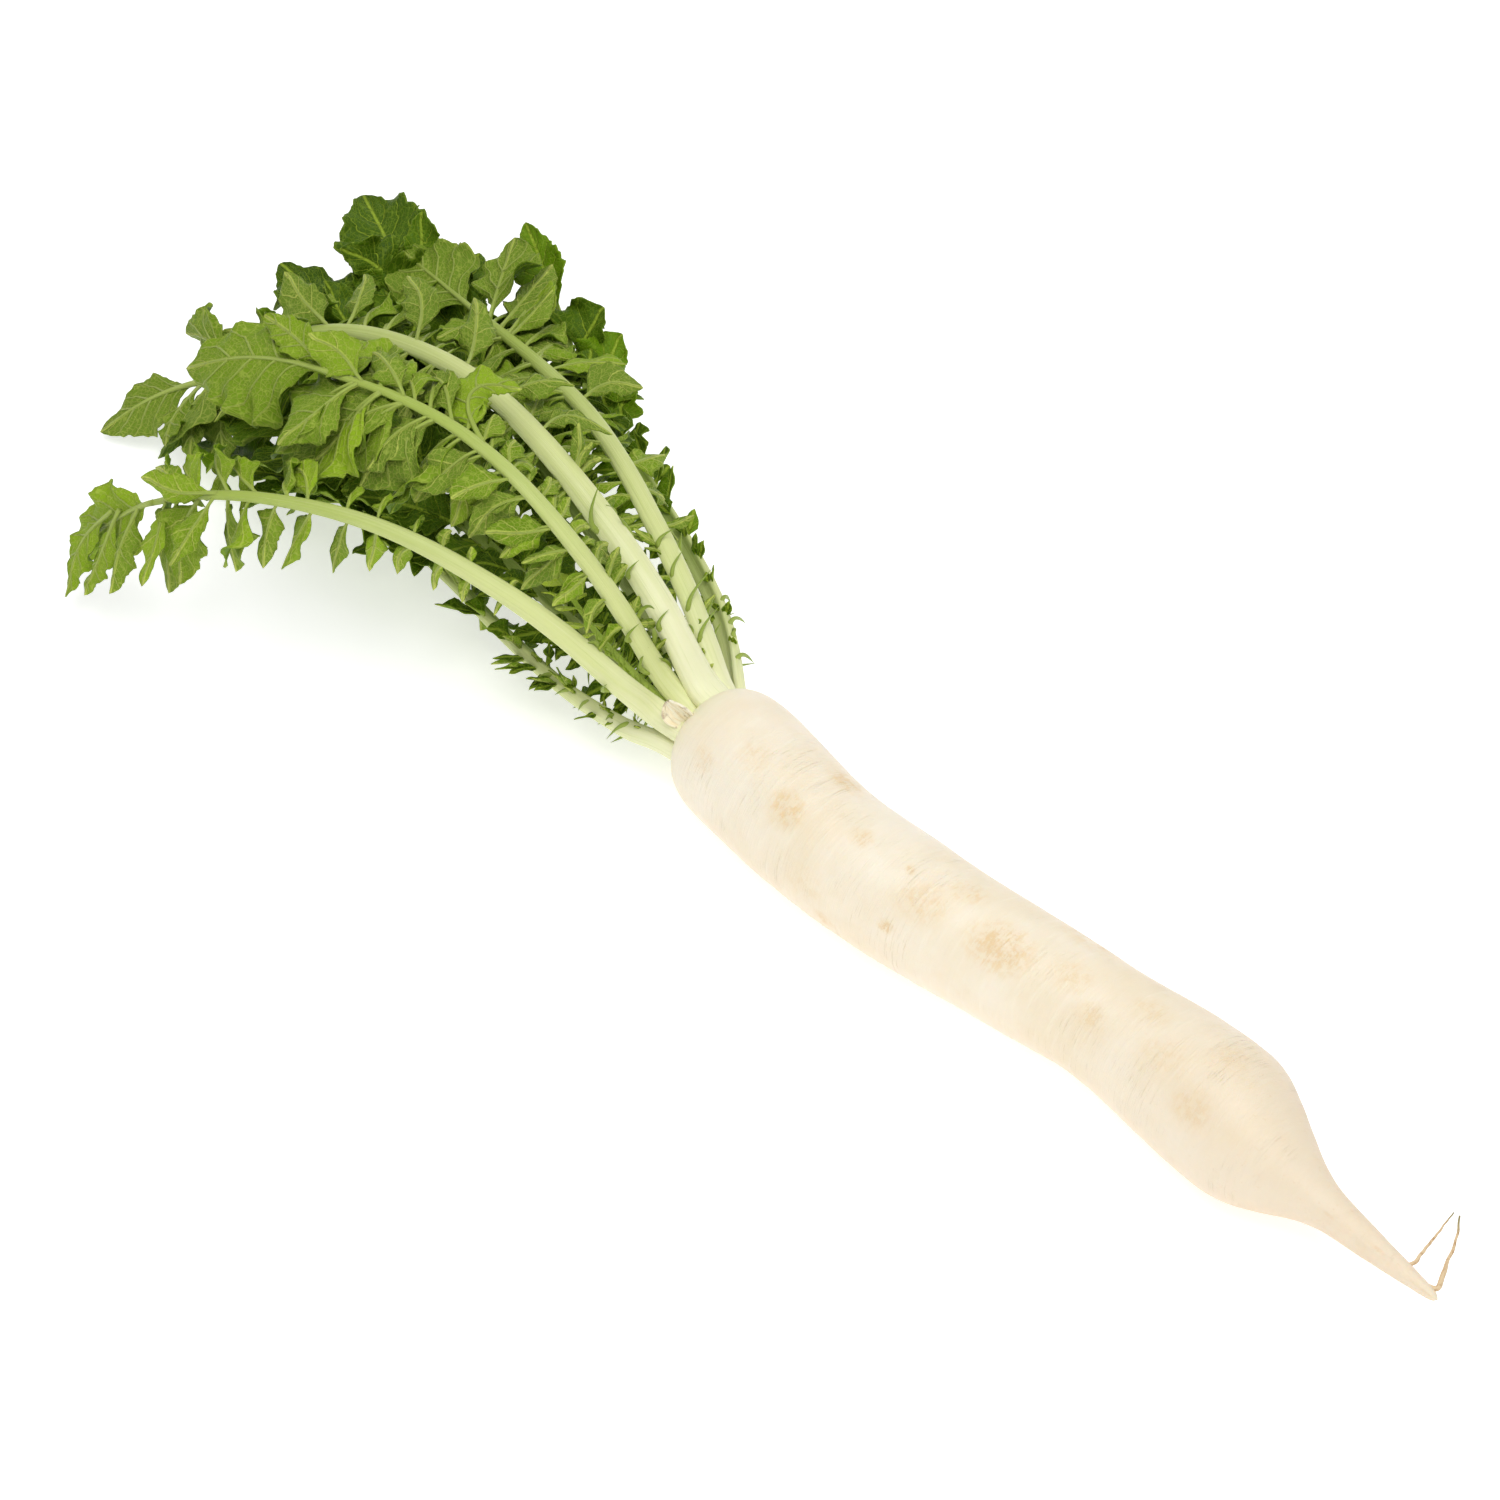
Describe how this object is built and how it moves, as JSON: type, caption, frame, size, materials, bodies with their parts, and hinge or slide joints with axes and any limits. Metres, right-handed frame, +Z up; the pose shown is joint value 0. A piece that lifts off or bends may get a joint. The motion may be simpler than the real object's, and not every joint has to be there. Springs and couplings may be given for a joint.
{
  "type": "daikon radish",
  "caption": "Long white daikon radish root with two rootlets at its tail and a spread bunch of toothed, arching leaves at its crown, lying on its side.",
  "frame": {"origin": "middle of the flat spot under the root's shoulder, on the surface that the radish lies on", "axes": "+X along the root from its crown to its tail, +Z up; the leaves reach out to -X"},
  "size_m": [0.7952, 0.2712, 0.1534],
  "materials": {
    "root_skin": "satin cream skin with faint ochre scuffs and fine cross lines",
    "dry_scale": "dry papery leaf base",
    "leaf": "soft green leaf with pale veins on a smooth pale green stalk",
    "young_leaf": "fresh yellow-green young leaf"
  },
  "bodies": {
    "root": {"root": "root_skin", "crown_husk": "dry_scale", "frond_top": "leaf", "frond_near": "leaf", "frond_high": "leaf", "frond_far": "leaf", "frond_side": "leaf", "frond_low": "leaf", "frond_young": "young_leaf", "frond_under": "leaf", "frond_back": "leaf", "frond_inner": "leaf"}
  },
  "joints": []
}
